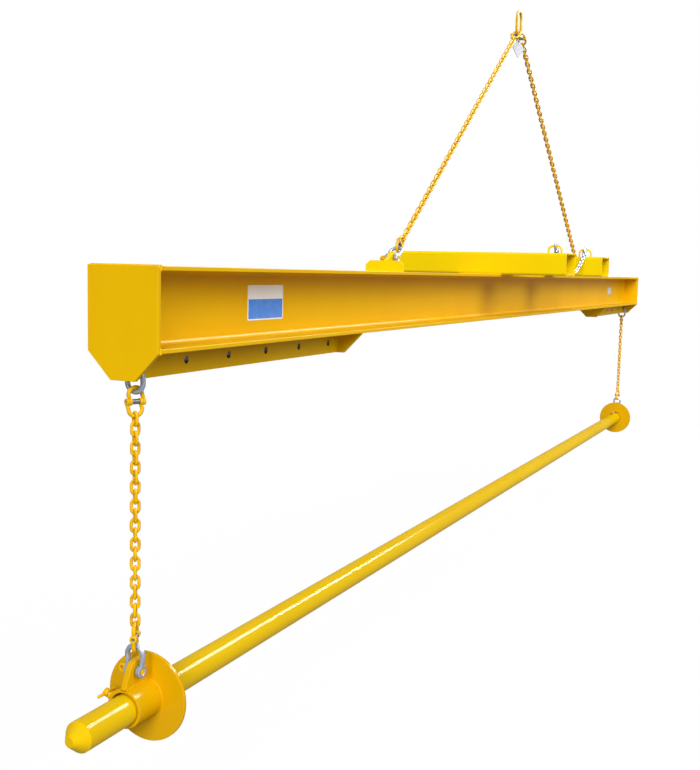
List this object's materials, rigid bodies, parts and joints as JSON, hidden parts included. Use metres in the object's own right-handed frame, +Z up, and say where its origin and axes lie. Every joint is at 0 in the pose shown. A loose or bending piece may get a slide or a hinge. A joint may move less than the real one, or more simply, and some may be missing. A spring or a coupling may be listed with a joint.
{
  "type": "spreader beam",
  "caption": "Yellow spreader beam on a chain sling, with fork sockets on top and a reel bar with stop discs hung in collars from chains below.",
  "frame": {"origin": "where a crane hook bears inside the top of the master link", "axes": "+X along the beam, +Z up"},
  "size_m": [6.48, 0.8, 2.467],
  "materials": {
    "yellow_paint": "gloss enamel over steel",
    "yellow_chain": "powder coat over forged steel",
    "galvanised_forging": "hot-dip galvanised",
    "zinc_plate": "bright zinc plate",
    "steel_pin": "bright steel",
    "dark_steel": "blackened spring steel",
    "white_enamel": "white enamel",
    "printed_label": "blank printed vinyl"
  },
  "bodies": {
    "master_link": {"master_link": "yellow_chain"},
    "tag": {"tag_ring": "zinc_plate", "sling_tag": "white_enamel"},
    "sling": {"left_leg_chain": "yellow_chain", "right_leg_chain": "yellow_chain", "sling_coupler_halves": "yellow_chain", "sling_coupler_pins": "steel_pin", "sling_coupler_sleeves": "dark_steel"},
    "beam": {"main_beam": "yellow_paint", "left_end_plate": "yellow_paint", "right_end_plate": "yellow_paint", "left_lug_plate": "yellow_paint", "right_lug_plate": "yellow_paint", "lug_gussets": "yellow_paint", "left_fork_pocket": "yellow_paint", "right_fork_pocket": "yellow_paint", "left_top_lug": "yellow_paint", "right_top_lug": "yellow_paint", "lug_stop_plates": "yellow_paint", "top_shackle_bows": "galvanised_forging", "top_shackle_pins": "yellow_paint", "safety_eyes": "yellow_paint", "rating_plate": "printed_label", "data_plate": "white_enamel"},
    "safety_chain": {"left_safety_chain": "zinc_plate", "right_safety_chain": "zinc_plate", "safety_shackle_bows": "zinc_plate", "safety_shackle_pins": "zinc_plate"},
    "reel_bar": {"reel_bar": "yellow_paint", "bar_noses": "yellow_paint"},
    "left_upper_shackle": {"left_upper_shackle_bow": "galvanised_forging", "left_upper_shackle_pin": "yellow_paint"},
    "left_chain": {"left_drop_chain": "yellow_chain", "left_coupler_halves": "yellow_chain", "left_coupler_pins": "steel_pin", "left_coupler_sleeves": "dark_steel"},
    "left_lower_shackle": {"left_lower_shackle_bow": "galvanised_forging", "left_lower_shackle_pin": "yellow_paint"},
    "left_collar": {"left_collar_sleeve": "yellow_paint", "left_collar_disc": "yellow_paint", "left_collar_lug": "yellow_paint", "left_clamp_nut": "yellow_paint"},
    "left_clamp_screw": {"left_clamp_screw": "steel_pin"},
    "left_clamp_handle": {"left_clamp_handle": "yellow_paint"},
    "right_upper_shackle": {"right_upper_shackle_bow": "galvanised_forging", "right_upper_shackle_pin": "yellow_paint"},
    "right_chain": {"right_drop_chain": "yellow_chain", "right_coupler_halves": "yellow_chain", "right_coupler_pins": "steel_pin", "right_coupler_sleeves": "dark_steel"},
    "right_lower_shackle": {"right_lower_shackle_bow": "galvanised_forging", "right_lower_shackle_pin": "yellow_paint"},
    "right_collar": {"right_collar_sleeve": "yellow_paint", "right_collar_disc": "yellow_paint", "right_collar_lug": "yellow_paint", "right_clamp_nut": "yellow_paint"},
    "right_clamp_screw": {"right_clamp_screw": "steel_pin"},
    "right_clamp_handle": {"right_clamp_handle": "yellow_paint"}
  },
  "joints": [
    {"name": "tag_swing", "type": "hinge", "parent": "master_link", "child": "tag", "pos_m": [0, 0, -0.112], "axis": [1, 0, 0], "range_deg": [-60, 60]},
    {"name": "sling_swing", "type": "hinge", "parent": "master_link", "child": "sling", "pos_m": [0, 0, -0.09836], "axis": [1, 0, 0], "range_deg": [-30, 30]},
    {"name": "beam_roll", "type": "hinge", "parent": "sling", "child": "beam", "pos_m": [0, 0, -1.18262], "axis": [1, 0, 0], "range_deg": [-25, 25]},
    {"name": "safety_chain_swing", "type": "hinge", "parent": "beam", "child": "safety_chain", "pos_m": [0, -0.308, -1.12272], "axis": [1, 0, 0], "range_deg": [-30, 30]},
    {"name": "left_gear_swing", "type": "hinge", "parent": "beam", "child": "left_upper_shackle", "pos_m": [-3, 0, -1.50177], "axis": [0, 1, 0], "range_deg": [-30, 30]},
    {"name": "left_chain_sway", "type": "hinge", "parent": "left_upper_shackle", "child": "left_chain", "pos_m": [-3, 0, -1.54127], "axis": [1, 0, 0], "range_deg": [-40, 40]},
    {"name": "left_lower_sway", "type": "hinge", "parent": "left_chain", "child": "left_lower_shackle", "pos_m": [-3, 0, -2.21477], "axis": [1, 0, 0], "range_deg": [-40, 40]},
    {"name": "left_collar_swing", "type": "hinge", "parent": "left_lower_shackle", "child": "left_collar", "pos_m": [-3, 0, -2.25427], "axis": [0, 1, 0], "range_deg": [-30, 30]},
    {"name": "left_clamp_advance", "type": "slide", "parent": "left_collar", "child": "left_clamp_screw", "axis": [0, 0.9397, 0.342], "range_m": [0, 0.007]},
    {"name": "left_clamp_turn", "type": "hinge", "parent": "left_clamp_screw", "child": "left_clamp_handle", "pos_m": [-3.027, 0, -2.33797], "axis": [0, 0.9397, 0.342], "range_deg": [0, 1442]},
    {"name": "right_gear_swing", "type": "hinge", "parent": "beam", "child": "right_upper_shackle", "pos_m": [3, 0, -1.50177], "axis": [0, 1, 0], "range_deg": [-30, 30]},
    {"name": "right_chain_sway", "type": "hinge", "parent": "right_upper_shackle", "child": "right_chain", "pos_m": [3, 0, -1.54127], "axis": [1, 0, 0], "range_deg": [-40, 40]},
    {"name": "right_lower_sway", "type": "hinge", "parent": "right_chain", "child": "right_lower_shackle", "pos_m": [3, 0, -2.21477], "axis": [1, 0, 0], "range_deg": [-40, 40]},
    {"name": "right_collar_swing", "type": "hinge", "parent": "right_lower_shackle", "child": "right_collar", "pos_m": [3, 0, -2.25427], "axis": [0, 1, 0], "range_deg": [-30, 30]},
    {"name": "right_clamp_advance", "type": "slide", "parent": "right_collar", "child": "right_clamp_screw", "axis": [0, 0.9397, 0.342], "range_m": [0, 0.007]},
    {"name": "right_clamp_turn", "type": "hinge", "parent": "right_clamp_screw", "child": "right_clamp_handle", "pos_m": [3.027, 0, -2.33797], "axis": [0, 0.9397, 0.342], "range_deg": [0, 1442]},
    {"name": "bar_slide", "type": "slide", "parent": "left_collar", "child": "reel_bar", "axis": [1, 0, 0], "range_m": [-0.11, 0.11]}
  ],
  "couplings": [
    {"joint": "left_clamp_turn", "follows": "left_clamp_advance", "rad_per_m": 3590.4},
    {"joint": "right_clamp_turn", "follows": "right_clamp_advance", "rad_per_m": 3590.4},
    {"joint": "left_lower_sway", "follows": "left_chain_sway", "ratio": -1},
    {"joint": "left_collar_swing", "follows": "left_gear_swing", "ratio": -1},
    {"joint": "right_gear_swing", "follows": "left_gear_swing", "ratio": 1},
    {"joint": "right_chain_sway", "follows": "left_chain_sway", "ratio": 1},
    {"joint": "right_lower_sway", "follows": "left_chain_sway", "ratio": -1},
    {"joint": "right_collar_swing", "follows": "left_gear_swing", "ratio": -1}
  ]
}
